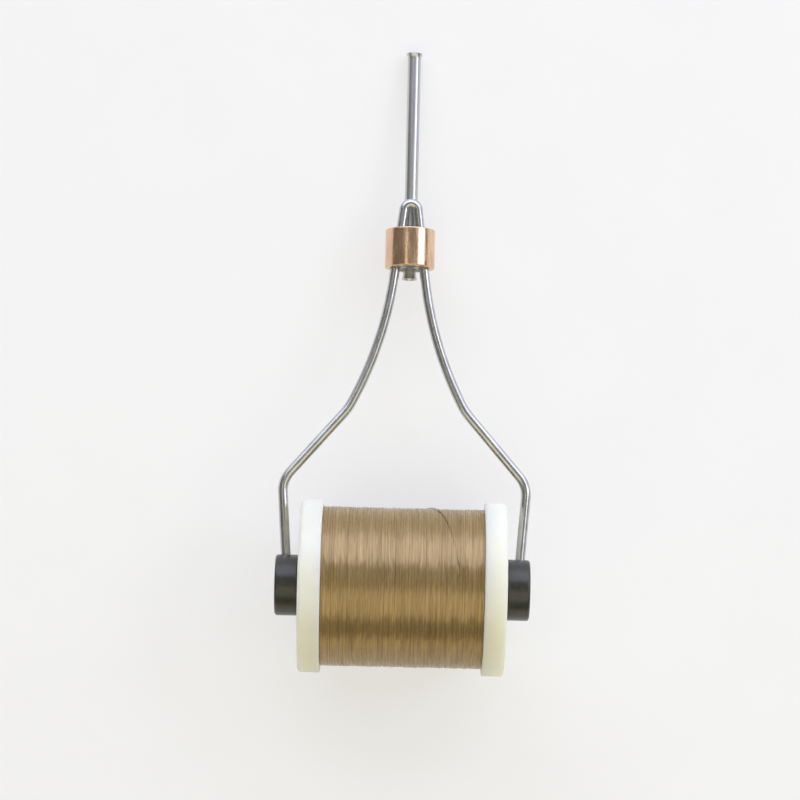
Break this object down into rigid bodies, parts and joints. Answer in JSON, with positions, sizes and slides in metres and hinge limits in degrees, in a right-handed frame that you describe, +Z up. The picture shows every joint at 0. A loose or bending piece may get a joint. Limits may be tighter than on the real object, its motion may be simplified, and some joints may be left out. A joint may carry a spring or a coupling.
{
  "type": "bobbin holder for fly tying",
  "caption": "Bobbin holder for fly tying: bowed spring-wire arms pinch a spool of thread between plastic feet, and a flared steel tube in a copper collar guides the thread.",
  "frame": {"origin": "on the table, under the middle of the tool's box, as the tool lies on its flanges and its tube's tip", "axes": "+X along the spool's axle, +Y from the spool towards the tube's tip, +Z up from the table"},
  "size_m": [0.0362, 0.09, 0.0247],
  "materials": {
    "steel": "polished",
    "spring_wire": "polished",
    "copper": "polished copper",
    "solder": "dull",
    "foot_plastic": "matt",
    "spool_plastic": "satin",
    "thread": "silky"
  },
  "bodies": {
    "frame": {"thread_tube": "steel", "collar": "copper", "solder_fill": "solder", "wire_loop": "spring_wire"},
    "left_arm": {"left_arm": "spring_wire", "left_foot": "foot_plastic"},
    "right_arm": {"right_arm": "spring_wire", "right_foot": "foot_plastic"},
    "spool": {"spool": "spool_plastic", "thread_core": "thread", "thread_winding": "thread"}
  },
  "joints": [
    {"name": "spool_spin", "type": "hinge", "parent": "frame", "child": "spool", "pos_m": [0, -0.03269, 0.01235], "axis": [1, 0, 0], "continuous": true},
    {"name": "left_arm_spread", "type": "hinge", "parent": "frame", "child": "left_arm", "pos_m": [-0.0028, 0.01313, 0.00677], "axis": [0, -0.1209, -0.9927], "range_deg": [0, 8], "stiffness_Nm_per_rad": 2, "springref_deg": -1.72},
    {"name": "right_arm_spread", "type": "hinge", "parent": "frame", "child": "right_arm", "pos_m": [0.0028, 0.01313, 0.00677], "axis": [0, 0.1209, 0.9927], "range_deg": [0, 8], "stiffness_Nm_per_rad": 2, "springref_deg": -1.72}
  ]
}
